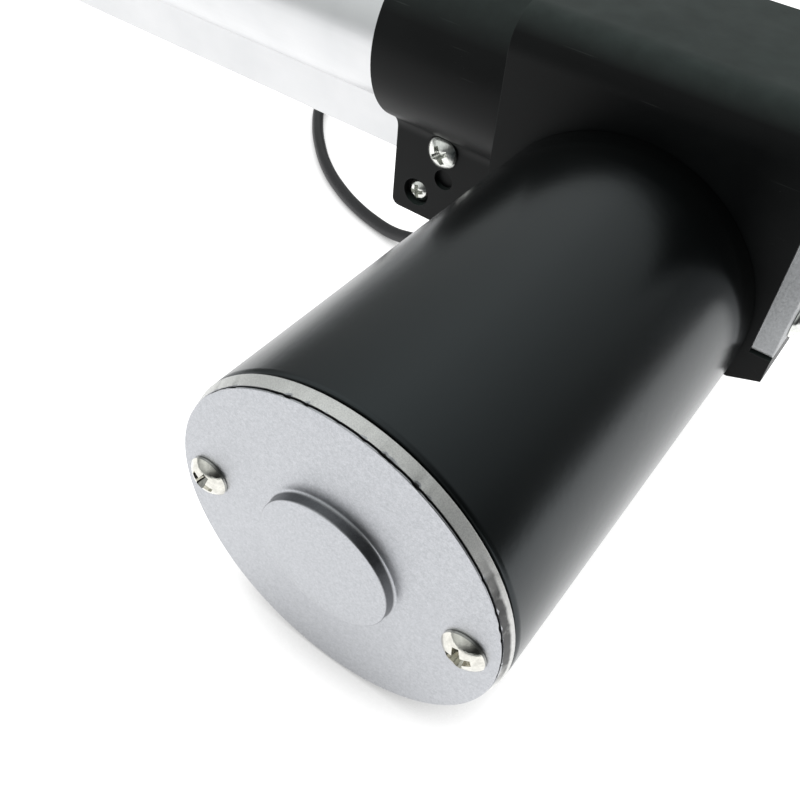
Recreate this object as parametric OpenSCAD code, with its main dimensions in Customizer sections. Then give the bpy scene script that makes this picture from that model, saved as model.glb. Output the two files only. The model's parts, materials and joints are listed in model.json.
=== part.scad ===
// Heavy-duty linear actuator: a permanent-magnet motor set across the lead screw,
// driving it through a worm and wheel in a two-part housing.
// The rear pivot's centre is the origin. +X is the way the rod extends, along the
// lead screw's axis, +Y points out along the motor, and +Z is up.

/* [Stroke] */
// Travel of the rod
stroke = 150; // [100:10:200]
// Lead of the lead screw
screw_lead = 5; // [4:1:6]

/* [Gearbox] */
// Distance along X from the rear pivot to the motor axis
motor_x = 60; // [60:1:64]
// Height of the lead screw's axis above the motor axis
centre_distance = 25; // [25:0.1:25.4]
// Distance from the lead screw's axis to the face the motor stands on
motor_face_y = 20.3; // [20.3:0.1:20.6]
// Height of the housing's top above the lead screw's axis
body_top = 21.3; // [21:0.1:22]
// Depth of the back half behind the lead screw's axis
body_back = 24; // [23:0.5:26]
// Outer radius of the collar that holds the tube
collar_r = 20.2; // [20:0.1:20.2]
// Length of the collar beyond the housing
collar_len = 33.2; // [33:0.2:34]
// Number of teeth on the worm wheel
wheel_teeth = 20; // [20]
// Module of the worm and wheel
gear_module = 1.5; // [1.5]

/* [Motor] */
// Outer radius of the motor can
can_r = 31.5; // [31.4:0.1:32]
// Wall of the motor can
can_wall = 2; // [1.6:0.1:2]
// Distance from the lead screw's axis to the outer face of the motor's end cap
cap_face_y = 112.5; // [112.5:0.5:116]
// Thickness of the end cap's rim
cap_rim = 3.3; // [3:0.1:3.6]
// Radius at which the two through-bolts sit
bolt_pitch_r = 25.1; // [25:0.1:25.6]

/* [Tube and rod] */
// Outer radius of the tube
tube_r = 17.5; // [17.4:0.1:17.6]
// Wall of the tube
tube_wall = 2; // [1.8:0.1:2.1]
// Outer radius of the inner rod
rod_r = 11; // [11]
// Wall of the inner rod
rod_wall = 2; // [1.9:0.1:2.1]

/* [Pivots] */
// Radius of both pivot holes
pivot_r = 5.1; // [5.05:0.05:5.2]
// Thickness of the rear lug
rear_lug_t = 20; // [18:1:20]
// Thickness of the rod end across its flats
rod_end_t = 16; // [14:1:18]

/* [Cable] */
// Diameter of the cable
cable_d = 3.5; // [3.4:0.1:3.6]

/* [Hidden] */
$fn = 64;
eps = 0.01;
// clearance on the radius of a seat, and of a running shaft
seat = 0.04;
run = 0.03;

// stations along X
plate_t = 4.5;
body_x0 = 27;
plate_x0 = body_x0 - plate_t;
body_x1 = 91.8;
collar_x1 = body_x1 + collar_len;
tube_x0 = 96;
nut_x0 = 100;
nut_body_len = 12;
nut_len = 24;
tube_x1 = nut_x0 + nut_len + stroke + 10;
cap_x1 = tube_x1 + 10;
rod_x0 = nut_x0 + nut_body_len;
rod_x1 = cap_x1 + 4;
front_pivot_x = rod_x1 + 17;
screw_x1 = nut_x0 + nut_len + stroke + 7;

// heights and depths
motor_z = -centre_distance;
base_z = motor_z - can_r;
body_corner_r = 8.6;
back_corner_r = 2;
plate_bottom = -27.4;
lip_bottom_rear = -33.1;
lip_bottom_front = -35.5;
lip_front_x = 29;
foot_corner_r = 6;
flange_body_r = 31.4;
tab_y = 7.5;
tab_bottom = -43.3;
tab_corner_r = 2;
tab_fillet_r = 5;

// cavities in the housing
wheel_room_r = 16.9;
wheel_room_x = [51, 69];
worm_room_r = 12;
worm_room_y = [-15.3, 14.5];
bush_y0 = -20;
bush_r = 7;
shaft_hole_r = 5.5;
screw_room_r = 9.5;
rear_bearing_x = [42, 50];
rear_bearing_r = [5, 13];
front_bearing_x = [70, 80];
front_bearing_r = [6, 16];
nut_room_x = [30, 42];
nut_room_r = 10.5;
neck_room_r = 12;
wire_room_x = [82, 90];
wire_room_y = [-3, 13];
wire_room_z = [-51.5, -24];

// screw places
housing_screw_at = [[47, 17.2], [88, 17.2], [31, -33], [45, -47.5], [75, -50]];
housing_screw_r = 1.5;
housing_screw_sink = 3;
flange_screw_at = [[76.5, -39.5], [43.5, -39.5]];
flange_screw_y = motor_face_y - 7;
flange_screw_r = 1.5;
bush_wall = 1.5;
clevis_screw_y = 10.5;
clevis_screw_z = [-22.7, 15];
clevis_screw_r = 1.8;
clevis_screw_len = 15;
tab_screw_1 = [111.3, -23];
tab_screw_1_r = 1.6;
tab_notch_r = 4.6;
tab_screw_2 = [118, -37.1];
tab_screw_2_r = 1.4;
tab_screw_2_y = 5.3;
tab_recess_r = 3.7;
tab_dimple_at = [110.4, -30.3];
tab_dimple_r = 2.65;
tab_dimple_depth = 1.5;
tab_thread_y = -6.5;
end_cap_screw_x = 4;
end_cap_screw_r = 1.2;
end_cap_screw_turns = [0, 120, 240];
bolt_r = 2;
bolt_turn = 20;

// screw heads: [radius, height]
small_head = [3, 2.2];
tab_head_1 = [4.1, 2.4];
tab_head_2 = [3.1, 2.2];
clevis_head = [3.7, 2.6];
end_cap_head = [2.4, 1.6];
bolt_head = [3.8, 2.3];

// what guides the rod at the tube's end
guide_wall = 1.5;
wiper_len = 4;
wiper_wall = 2.5;

// tube channel
channel_half = 4.2;
channel_wall = 1.1;
channel_bottom = -29.4;
channel_neck = 2;

// limit switches on their board, and the cam on the nut that passes over them
board_half = 2.9;
board_z = [-28.1, -27.1];
switch_top = -21.4;
cam_half = 1.6;
cam_z = [-19.6, -12];

// motor interior
flange_y = [motor_face_y, motor_face_y + 6];
bearing_y = 7;
bearing_r = 11;
shaft_r = 4;
core_y = [36, 80];
core_r = 22.4;
slots = 12;
magnet_y = [32, 84];
magnet_r = [23.3, can_r - can_wall - 0.05];
commutator_y = [89, 100];
commutator_r = 9.5;
brush_y = [91, 98];
holder_y = [99.5, 101.5];
cap_bearing_y = [cap_face_y - 8.2, cap_face_y - 8.2 + bearing_y];
can_end_y = cap_face_y - cap_rim;
boss_r = 12.4;
boss_h = 2;
boss_round = 0.3;
boss_fillet = 0.5;
rim_cone = 0.9;
rim_edge = 0.3;
can_roll = 0.9;
bolt_hole_r = bolt_r + 0.13;

// cross pin that holds the rod end in the rod
pin_r = 1.5;
pin_back = 7;

// worm and wheel
wheel_pitch_r = gear_module * wheel_teeth / 2;
worm_pitch_r = centre_distance - wheel_pitch_r;
worm_lead = PI * gear_module;
lead_angle = atan(worm_lead / (2 * PI * worm_pitch_r));
pressure_angle = 20;
backlash = 0.35;
worm_root_r = worm_pitch_r - 1.3 * gear_module;
worm_tip_r = worm_pitch_r + gear_module;
worm_y = [-14, 14];
wheel_x = [55.5, 64.5];

hub_x = [51, 69];
hub_r = 9;
key_x = [52, 68];
key_z = [4.2, 7.8];
key_half = 1.5;

// lead screw: its rear end, its lock nut and its thread
screw_x0 = 36;
lock_nut_len = 5;
thread_x0 = 84.5;
thread_core_r = 5.6;
thread_crest_r = 7;

// cable: the exit, then the route along the surface to the coil
cable_r = cable_d / 2;
lie_z = base_z + cable_r + 0.05;
grommet_x1 = 100.5;
grommet_r = 3;
cable_exit = [grommet_x1, 7.5, -48.5];
cable_route = [
  cable_exit,
  [107, 7.5, -48.9],
  [113, 7.4, -50.2],
  [119, 6.9, -52.3],
  [125, 6, -54],
  [132, 4.5, lie_z],
  [141, 2, lie_z],
  [150, -2, lie_z],
  [159, -7.5, lie_z],
  [168, -15, lie_z],
  [177, -24.5, lie_z],
  [184, -34, lie_z],
  [189.5, -44, lie_z],
  [193.5, -52, lie_z],
  [196.5, -59, lie_z]
];
coil_centre = [173, -66];
coil_r = 21;
coil_rows = 3;
coil_layers = 2;
coil_pitch = cable_d + 0.1;
tail_route = [
  [197.6, -66, lie_z + coil_pitch],
  [197.6, -74, lie_z + 2.6],
  [197.5, -82, lie_z + 0.7],
  [197.4, -90, lie_z],
  [197.2, -97, lie_z],
  [197.2, -104, lie_z]
];
plug_size = [9, 18, 6.4];

// ---------- shared shapes ----------

// a cylinder along +X from x0 to x1
module along_x(x0, x1, r) {
  translate([x0, 0, 0])
    rotate([0, 90, 0])
      cylinder(h = x1 - x0, r = r);
}

// a cylinder along +Y from y0 to y1, at a place in XZ
module along_y(y0, y1, r, at = [motor_x, motor_z]) {
  translate([at[0], y1, at[1]])
    rotate([90, 0, 0])
      cylinder(h = y1 - y0, r = r);
}

// a ring along +X
module ring_x(x, r) {
  difference() {
    along_x(x[0], x[1], r[1]);
    along_x(x[0] - 1, x[1] + 1, r[0]);
  }
}

// a ring along +Y on the motor axis
module ring_y(y, r) {
  difference() {
    along_y(y[0], y[1], r[1]);
    along_y(y[0] - 1, y[1] + 1, r[0]);
  }
}

// turns a profile of [distance along +Y, radius] around the motor axis
module turned_y(profile) {
  translate([motor_x, 0, motor_z])
    rotate([-90, 0, 0])
      rotate_extrude()
        polygon([for (p = profile) [p[1], p[0]]]);
}

// turns a profile of [distance along +X, radius] around the screw axis
module turned_x(profile) {
  rotate([0, 90, 0])
    rotate_extrude()
      polygon([for (p = profile) [p[1], p[0]]]);
}

// a flat outline in XZ, raised along +Y from y0 to y1
module raised_y(y0, y1) {
  translate([0, y1, 0])
    rotate([90, 0, 0])
      linear_extrude(height = y1 - y0)
        children();
}

// a flat outline in YZ, raised along +X from x0 to x1
module raised_x(x0, x1) {
  translate([x0, 0, 0])
    rotate([90, 0, 90])
      linear_extrude(height = x1 - x0)
        children();
}

// points on an arc, in n steps
function arc(c, r, a0, a1, n = 9) =
  [for (i = [0:n]) c + r * [cos(a0 + (a1 - a0) * i / n), sin(a0 + (a1 - a0) * i / n)]];

// a box given by its lowest and highest corners
module box(lo, hi) {
  translate(lo)
    cube(hi - lo);
}

// a screw along Y: its head stands on y = 0, towards +Y, with a cross recess in it
module pan_screw(head, shank_r, length) {
  head_r = head[0];
  head_h = head[1];
  recess = head_r * 0.55;
  difference() {
    union() {
      rotate([-90, 0, 0])
        rotate_extrude()
          polygon(concat(
            [[0, 0], [head_r, 0], [head_r, head_h * 0.35]],
            arc([head_r - head_h * 0.65, head_h * 0.35], head_h * 0.65, 0, 90, 5),
            [[0, head_h]]
          ));
      rotate([90, 0, 0])
        cylinder(h = length, r = shank_r, $fn = 32);
    }
    for (turn = [0, 90])
      rotate([0, turn, 0])
        box([-recess, head_h * 0.35, -head_r * 0.11], [recess, head_h + 1, head_r * 0.11]);
  }
}

// a deep-groove ball bearing as one ring, with a shallow step between its races on each face
module bearing_profile(bore, outer, width) {
  race = (outer - bore) * 0.24;
  step = 0.4;
  polygon([
    [bore, 0], [bore + race, 0], [bore + race, step], [outer - race, step],
    [outer - race, 0], [outer, 0], [outer, width], [outer - race, width],
    [outer - race, width - step], [bore + race, width - step],
    [bore + race, width], [bore, width]
  ]);
}

// sweeps a round tube of radius r along points, as one polyhedron; up is never along the tube
module swept_tube(points, r, sides, up = [0, 0, 1]) {
  count = len(points);
  rings = [
    for (i = [0:count - 1])
      let (
        way = points[min(i + 1, count - 1)] - points[max(i - 1, 0)],
        ahead = way / norm(way),
        across = cross(ahead, up) / norm(cross(ahead, up)),
        over = cross(across, ahead)
      )
      for (k = [0:sides - 1])
        points[i] + r * (cos(360 * k / sides) * across + sin(360 * k / sides) * over)
  ];
  sides_faces = [
    for (i = [0:count - 2])
      for (k = [0:sides - 1])
        let (a = i * sides + k, b = i * sides + (k + 1) % sides)
        [a, b, b + sides, a + sides]
  ];
  start = [[for (k = [sides - 1:-1:0]) k]];
  end = [[for (k = [0:sides - 1]) (count - 1) * sides + k]];
  polyhedron(points = rings, faces = concat(start, sides_faces, end), convexity = 8);
}

// ---------- housing ----------

// outline of the housing seen along the motor, up to the height top
module housing_outline(top) {
  polygon(concat(
    [[body_x0, top], [body_x0, plate_bottom], [plate_x0, plate_bottom],
     [plate_x0, lip_bottom_rear], [lip_front_x, lip_bottom_front], [motor_x, lip_bottom_front],
     [motor_x, motor_z - flange_body_r]],
    arc([body_x1 - foot_corner_r, motor_z - flange_body_r + foot_corner_r], foot_corner_r, 270, 360),
    [[body_x1, top]]
  ));
  translate([motor_x, motor_z])
    circle(r = flange_body_r);
}

// outline of the tab under the collar, which continues into the housing
module tab_outline() {
  polygon(concat(
    [[body_x1 - 5, 0], [body_x1 - 5, tab_bottom]],
    arc([collar_x1 - tab_corner_r, tab_bottom + tab_corner_r], tab_corner_r, 270, 360),
    [[collar_x1, 0]]
  ));
}

// the concave fillet between the collar and the tab, on the +Y side
module collar_fillet() {
  centre_y = tab_y + tab_fillet_r;
  centre_z = -sqrt(pow(collar_r + tab_fillet_r, 2) - pow(centre_y, 2));
  touch = [centre_y, centre_z] * collar_r / (collar_r + tab_fillet_r);
  raised_x(body_x1 - 1, collar_x1)
    difference() {
      polygon([[tab_y - 1, centre_z], [tab_y, centre_z], touch, touch * 0.9, [tab_y - 1, -15]]);
      translate([centre_y, centre_z])
        circle(r = tab_fillet_r);
    }
}

// the room inside both halves
module housing_rooms() {
  along_x(wheel_room_x[0], wheel_room_x[1], wheel_room_r);
  along_y(worm_room_y[0], worm_room_y[1], worm_room_r);
  along_y(0, motor_face_y + 1, shaft_hole_r);
  along_x(nut_room_x[0], nut_room_x[1] + eps, nut_room_r);
  along_x(rear_bearing_x[0], rear_bearing_x[1], rear_bearing_r[1] + seat);
  along_x(rear_bearing_x[1] - eps, front_bearing_x[0] + eps, screw_room_r);
  along_x(front_bearing_x[0], front_bearing_x[1], front_bearing_r[1] + seat);
  along_x(front_bearing_x[1] - eps, tube_x0 + eps, neck_room_r);
  raised_x(tube_x0, collar_x1 + 1)
    tube_section(seat);
  box(
    [wire_room_x[0], wire_room_y[0], wire_room_z[0]],
    [wire_room_x[1], wire_room_y[1], wire_room_z[1]]
  );
  box([wire_room_x[1] - 1, -2, -28], [tube_x0 + 1, 2, -24.5]);
  along_y(bush_y0, worm_room_y[0] + eps, bush_r + seat);
  translate([wire_room_x[1] - 1, cable_exit[1], cable_exit[2]])
    rotate([0, 90, 0])
      cylinder(h = 8, r = grommet_r);
}

// holes for the screws that enter the housing
module housing_screw_holes() {
  for (at = housing_screw_at)
    along_y(-30, 8, housing_screw_r, at);
  for (at = flange_screw_at)
    along_y(-1, motor_face_y + 1, flange_screw_r + 0.1, at);
  for (at = flange_screw_at)
    along_y(-1, flange_screw_y, small_head[0] + 0.4, at);
  for (y = [-clevis_screw_y, clevis_screw_y])
    for (z = clevis_screw_z)
      translate([plate_x0, y, z])
        rotate([0, 90, 0])
          cylinder(h = clevis_screw_len + 1, r = clevis_screw_r, $fn = 32);
}

module gearbox_front_half() {
  color([0.06, 0.065, 0.068])
    difference() {
      union() {
        raised_y(0, motor_face_y)
          housing_outline(body_top - body_corner_r);
        raised_x(body_x0, body_x1)
          polygon(concat(
            [[0, 0], [motor_face_y, 0]],
            arc([motor_face_y - body_corner_r, body_top - body_corner_r], body_corner_r, 0, 90),
            [[0, body_top]]
          ));
        difference() {
          along_x(body_x1 - 1, collar_x1, collar_r);
          box([body_x1 - 2, -30, -30], [collar_x1 + 1, 0, 30]);
        }
        raised_y(0, tab_y)
          tab_outline();
        collar_fillet();
      }
      housing_rooms();
      housing_screw_holes();
      along_y(-1, motor_face_y + 1, tab_screw_1_r + 0.45, tab_screw_1);
      along_y(tab_y, motor_face_y, tab_notch_r, tab_screw_1);
      along_y(-1, tab_screw_2_y + 0.2, tab_screw_2_r + 0.35, tab_screw_2);
      along_y(tab_screw_2_y, tab_y + 1, tab_recess_r, tab_screw_2);
      along_y(tab_y - tab_dimple_depth, tab_y + 1, tab_dimple_r, tab_dimple_at);
    }
}

module gearbox_back_half() {
  color([0.06, 0.065, 0.068])
    difference() {
      union() {
        raised_y(-body_back, 0)
          housing_outline(0);
        raised_x(body_x0, body_x1)
          polygon(concat(
            [[0, body_top]],
            arc([back_corner_r - body_back, body_top - back_corner_r], back_corner_r, 90, 180, 5),
            [[-body_back, 0], [0, 0]]
          ));
        difference() {
          along_x(body_x1 - 1, collar_x1, collar_r);
          box([body_x1 - 2, 0, -30], [collar_x1 + 1, 30, 30]);
        }
        raised_y(-tab_y, 0)
          tab_outline();
      }
      housing_rooms();
      housing_screw_holes();
      for (at = housing_screw_at)
        along_y(-body_back - 1, housing_screw_sink - body_back, small_head[0] + 0.2, at);
      along_y(tab_thread_y, 1, tab_screw_1_r, tab_screw_1);
      along_y(tab_thread_y, 1, tab_screw_2_r, tab_screw_2);
    }
}

module housing_screws() {
  color("silver")
    for (at = housing_screw_at)
      translate([at[0], housing_screw_sink - body_back, at[1]])
        rotate([0, 0, 180])
          pan_screw(small_head, housing_screw_r - run, body_back + 4.5);
}

module tab_screws() {
  color("gainsboro") {
    translate([tab_screw_1[0], tab_y, tab_screw_1[1]])
      pan_screw(tab_head_1, tab_screw_1_r - run, tab_y + 6);
    translate([tab_screw_2[0], tab_screw_2_y, tab_screw_2[1]])
      pan_screw(tab_head_2, tab_screw_2_r - run, tab_screw_2_y + 6);
  }
}

// ---------- rear clevis ----------

module rear_clevis() {
  eye_r = 11;
  plate_half = motor_face_y - 0.1;
  plate_top = body_top - 1.8;
  corner_r = 2;
  rib_y = [-3, 3];
  rib_t = 3;
  color([0.62, 0.63, 0.64])
    difference() {
      union() {
        raised_x(plate_x0, body_x0)
          polygon(concat(
            arc([plate_half - corner_r, plate_top - corner_r], corner_r, 0, 90, 4),
            arc([corner_r - plate_half, plate_top - corner_r], corner_r, 90, 180, 4),
            arc([corner_r - plate_half, plate_bottom + corner_r], corner_r, 180, 270, 4),
            arc([plate_half - corner_r, plate_bottom + corner_r], corner_r, 270, 360, 4)
          ));
        translate([0, 0, -rear_lug_t / 2])
          cylinder(h = rear_lug_t, r = eye_r);
        box([0, -eye_r, -rear_lug_t / 2], [plate_x0 + eps, eye_r, rear_lug_t / 2]);
        for (y = rib_y)
          for (side = [-1, 1])
            raised_y(y - rib_t / 2, y + rib_t / 2)
              polygon([[12.5, side * 9], [plate_x0 + eps, side * 9], [plate_x0 + eps, side * 16]]);
      }
      translate([0, 0, -20])
        cylinder(h = 40, r = pivot_r + bush_wall);
      for (y = [-clevis_screw_y, clevis_screw_y])
        for (z = clevis_screw_z)
          translate([plate_x0 - 1, y, z])
            rotate([0, 90, 0])
              cylinder(h = plate_t + 2, r = clevis_screw_r + 0.3, $fn = 32);
    }
}

module rear_bush() {
  color("darkgoldenrod")
    difference() {
      translate([0, 0, -rear_lug_t / 2])
        cylinder(h = rear_lug_t, r = pivot_r + bush_wall);
      translate([0, 0, -20])
        cylinder(h = 40, r = pivot_r);
    }
}

module clevis_screws() {
  color("gainsboro")
    for (y = [-clevis_screw_y, clevis_screw_y])
      for (z = clevis_screw_z)
        translate([plate_x0, y, z])
          rotate([0, 0, 90])
            pan_screw(clevis_head, clevis_screw_r - run, clevis_screw_len);
}

// ---------- tube ----------

// section of the tube, seen along X, with its channel below
module tube_section(grow = 0) {
  circle(r = tube_r + grow);
  translate([-channel_half - grow, channel_bottom - grow])
    square([2 * (channel_half + grow), -channel_bottom + grow]);
}

// the radial holes for the screws around the tube's end
module end_cap_screw_holes(r) {
  for (turn = end_cap_screw_turns)
    rotate([turn, 0, 0])
      translate([tube_x1 - end_cap_screw_x, 0, 0])
        cylinder(h = tube_r + 10, r = r, $fn = 32);
}

module outer_tube() {
  inner_half = channel_half - channel_wall;
  inner_bottom = channel_bottom + channel_wall;
  inner_top = -18.4;
  color([0.86, 0.87, 0.88])
    difference() {
      raised_x(tube_x0, tube_x1)
        tube_section();
      along_x(tube_x0 - 1, tube_x1 + 1, tube_r - tube_wall);
      box([tube_x0 - 1, -inner_half, inner_bottom], [tube_x1 + 1, inner_half, inner_top]);
      box([tube_x0 - 1, -channel_neck, inner_bottom], [tube_x1 + 1, channel_neck, -10]);
      along_y(-tab_y, tab_y, tab_screw_1_r, tab_screw_1);
      end_cap_screw_holes(end_cap_screw_r + 0.15);
    }
}

module tube_end_cap() {
  color([0.1, 0.1, 0.11])
    difference() {
      union() {
        along_x(tube_x1 - 8, tube_x1 + eps, tube_r - tube_wall - seat);
        raised_x(tube_x1, cap_x1)
          tube_section(0.8);
      }
      along_x(tube_x1 - 9, tube_x1 + 4, rod_r + guide_wall);
      along_x(tube_x1, cap_x1 + 1, rod_r + 0.3);
      along_x(cap_x1 - wiper_len, cap_x1 + 1, rod_r + wiper_wall);
      end_cap_screw_holes(end_cap_screw_r);
    }
}

module end_cap_screws() {
  color("gainsboro")
    for (turn = end_cap_screw_turns)
      rotate([turn, 0, 0])
        translate([tube_x1 - end_cap_screw_x, 0, tube_r + eps])
          rotate([90, 0, 0])
            pan_screw(end_cap_head, end_cap_screw_r - run, 4.4);
}

module rod_guide_bush() {
  color("ivory")
    ring_x([tube_x1 - 8, tube_x1 + 4], [rod_r + run, rod_r + guide_wall - seat]);
}

module rod_wiper() {
  color([0.05, 0.05, 0.05])
    difference() {
      turned_x([
        [cap_x1 - wiper_len, 0], [cap_x1 - wiper_len, rod_r + wiper_wall - seat],
        [cap_x1, rod_r + wiper_wall - seat],
        [cap_x1 + 0.6, rod_r + 1.6], [cap_x1 + 1.6, rod_r + 0.4], [cap_x1 + 1.6, 0]
      ]);
      along_x(cap_x1 - 5, cap_x1 + 3, rod_r + 0.05);
    }
}

// ---------- bearings and bushes ----------

module rear_screw_bearing() {
  color("lightsteelblue")
    translate([rear_bearing_x[0], 0, 0])
      rotate([0, 90, 0])
        rotate_extrude()
          bearing_profile(
            rear_bearing_r[0] + run, rear_bearing_r[1], rear_bearing_x[1] - rear_bearing_x[0]
          );
}

module front_screw_bearing() {
  color("lightsteelblue")
    translate([front_bearing_x[0], 0, 0])
      rotate([0, 90, 0])
        rotate_extrude()
          bearing_profile(
            front_bearing_r[0] + run, front_bearing_r[1], front_bearing_x[1] - front_bearing_x[0]
          );
}

module motor_bearing(y) {
  translate([motor_x, y, motor_z])
    rotate([-90, 0, 0])
      rotate_extrude()
        bearing_profile(shaft_r + run, bearing_r, bearing_y);
}

module cap_bearing() {
  color("lightsteelblue")
    motor_bearing(cap_bearing_y[0]);
}

module flange_bearing() {
  color("lightsteelblue")
    motor_bearing(flange_y[0] + 1);
}

module worm_end_bush() {
  color("darkgoldenrod")
    ring_y([bush_y0, worm_room_y[0]], [shaft_r + run, bush_r]);
}

// ---------- motor ----------

module motor_can() {
  color([0.08, 0.085, 0.09])
    difference() {
      turned_y([
        [motor_face_y, 0], [motor_face_y, can_r], [can_end_y - can_roll, can_r],
        [can_end_y - can_roll * 0.3, can_r - can_roll * 0.2], [can_end_y, can_r - can_roll * 0.6],
        [can_end_y, 0]
      ]);
      along_y(motor_face_y - 1, can_end_y + 1, can_r - can_wall);
    }
}

module motor_end_cap() {
  seat_y = cap_bearing_y[1];
  color([0.66, 0.67, 0.68])
    difference() {
      turned_y(concat(
        [[can_end_y - 5, 0], [can_end_y - 5, can_r - can_wall - 0.05], [can_end_y, can_r - can_wall - 0.05],
         [can_end_y, can_r - rim_edge], [can_end_y + rim_edge, can_r],
         [cap_face_y - rim_edge, can_r - rim_cone], [cap_face_y, can_r - rim_cone - rim_edge]],
        arc([cap_face_y + boss_fillet, boss_r + boss_fillet], boss_fillet, 180, 270, 4),
        arc([cap_face_y + boss_h - boss_round, boss_r - boss_round], boss_round, 90, 0, 3),
        [[cap_face_y + boss_h, 0]]
      ));
      ring_y([can_end_y - 6, can_end_y], [bearing_r + 2.2, can_r - can_wall - 2]);
      along_y(can_end_y - 6, seat_y, bearing_r + seat);
      along_y(seat_y - 1, seat_y + 1.8, shaft_r + 1);
      for (side = [-1, 1])
        along_y(90, cap_face_y + 5, bolt_hole_r, [motor_x + side * bolt_pitch_r, motor_z]);
    }
}

module motor_through_bolts() {
  color("gainsboro")
    for (side = [-1, 1])
      translate([motor_x + side * bolt_pitch_r, cap_face_y, motor_z])
        rotate([0, side * bolt_turn, 0])
          pan_screw(bolt_head, bolt_r, cap_face_y - motor_face_y - 0.5);
}

module motor_flange() {
  color([0.6, 0.61, 0.62])
    difference() {
      union() {
        along_y(flange_y[0], flange_y[1], can_r - can_wall - 0.05);
        along_y(flange_y[0], flange_y[1] + 3, bearing_r + 2.5);
      }
      along_y(flange_y[0] + 1, flange_y[1] + 4, bearing_r + seat);
      along_y(flange_y[0] - 1, flange_y[1] + 4, shaft_hole_r);
      for (side = [-1, 1])
        along_y(flange_y[0] - 1, flange_y[1] + 1, bolt_r + seat, [motor_x + side * bolt_pitch_r, motor_z]);
      for (at = flange_screw_at)
        along_y(flange_y[0] - 1, flange_y[1] + 1, flange_screw_r + seat, at);
    }
}

module flange_screws() {
  color("silver")
    for (at = flange_screw_at)
      translate([at[0], flange_screw_y, at[1]])
        rotate([0, 0, 180])
          pan_screw(small_head, flange_screw_r, 12);
}

module field_magnets() {
  span = 62;
  color([0.22, 0.22, 0.24])
    for (side = [90, 270])
      raised_y(magnet_y[0], magnet_y[1])
        translate([motor_x, motor_z])
          polygon(concat(
            arc([0, 0], magnet_r[1], side - span, side + span, 14),
            arc([0, 0], magnet_r[0], side + span, side - span, 14)
          ));
}

module brush_holder() {
  color([0.35, 0.22, 0.12])
    difference() {
      union() {
        ring_y(holder_y, [commutator_r + 3.5, can_r - can_wall - 2.6]);
        for (side = [-1, 1])
          translate([motor_x, 0, motor_z])
            box(
              [-4.6, brush_y[0] - 1.4, side > 0 ? commutator_r + 2.4 : -24],
              [4.6, holder_y[0] + eps, side > 0 ? 24 : -commutator_r - 2.4]
            );
      }
      for (side = [-1, 1])
        translate([motor_x, 0, motor_z])
          box(
            [-3.1, brush_y[0] - 0.1, side > 0 ? 5 : -23],
            [3.1, brush_y[1] + 0.1, side > 0 ? 23 : -5]
          );
      for (side = [-1, 1])
        along_y(holder_y[0] - 1, holder_y[1] + 1, 3, [motor_x + side * bolt_pitch_r, motor_z]);
    }
}

module brushes() {
  color([0.12, 0.11, 0.1])
    difference() {
      for (side = [-1, 1])
        translate([motor_x, 0, motor_z])
          box(
            [-3, brush_y[0], side > 0 ? commutator_r - 1 : -17.5],
            [3, brush_y[1], side > 0 ? 17.5 : 1 - commutator_r]
          );
      along_y(brush_y[0] - 1, brush_y[1] + 1, commutator_r + 0.05);
    }
}

module brush_springs() {
  turns = 4;
  steps = 8;
  height = 5;
  color("silver")
    for (side = [-1, 1])
      translate([motor_x, (brush_y[0] + brush_y[1]) / 2, motor_z + side * 17.8])
        scale([1, 1, side])
          swept_tube(
            [for (i = [0:turns * steps])
              [2 * cos(360 * i / steps), 2 * sin(360 * i / steps), height * i / turns / steps]],
            0.25, 5
          );
}

module motor_shaft() {
  y0 = bush_y0 + 0.4;
  y1 = cap_bearing_y[1];
  color("lightgray")
    turned_y([
      [y0, 0], [y0, shaft_r - 0.4], [y0 + 0.4, shaft_r], [y1 - 0.4, shaft_r],
      [y1, shaft_r - 0.4], [y1, 0]
    ]);
}

module core_outline() {
  difference() {
    circle(r = core_r);
    circle(r = shaft_r);
    for (i = [0:slots - 1])
      rotate(i * 360 / slots) {
        translate([11, -2.6])
          square([9, 5.2]);
        translate([19, -0.9])
          square([6, 1.8]);
      }
  }
}

module armature_core() {
  color([0.45, 0.46, 0.48])
    raised_y(core_y[0], core_y[1])
      translate([motor_x, motor_z])
        core_outline();
}

module armature_windings() {
  end_profile = [[9.6, 0], [20, 0], [20.6, 1.5], [19, 5], [16, 6], [12, 6], [9.6, 4.4]];
  color("peru") {
    translate([motor_x, core_y[1], motor_z])
      rotate([-90, 0, 0])
        rotate_extrude()
          polygon(end_profile);
    translate([motor_x, core_y[0], motor_z])
      rotate([90, 0, 0])
        rotate_extrude()
          polygon(end_profile);
    raised_y(core_y[0] - eps, core_y[1] + eps)
      translate([motor_x, motor_z])
        for (i = [0:slots - 1])
          rotate(i * 360 / slots)
            translate([11.1, -2.5])
              square([8.8, 5]);
  }
}

module commutator() {
  color([0.8, 0.5, 0.3])
    difference() {
      union() {
        ring_y(commutator_y, [shaft_r, commutator_r]);
        ring_y([commutator_y[0], commutator_y[0] + 1.4], [shaft_r, commutator_r + 1.6]);
      }
      for (i = [0:slots - 1])
        translate([motor_x, 0, motor_z])
          rotate([0, (i + 0.5) * 360 / slots, 0])
            box(
              [commutator_r - 1, commutator_y[0] - 1, -0.25],
              [commutator_r + 3, commutator_y[1] + 1, 0.25]
            );
    }
}

// ---------- worm and wheel ----------

// half the thread's width along the worm axis, at the distance r from it
function thread_half(r) =
  worm_lead / 4 - backlash / 4 - (r - worm_pitch_r) * tan(pressure_angle);

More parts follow.
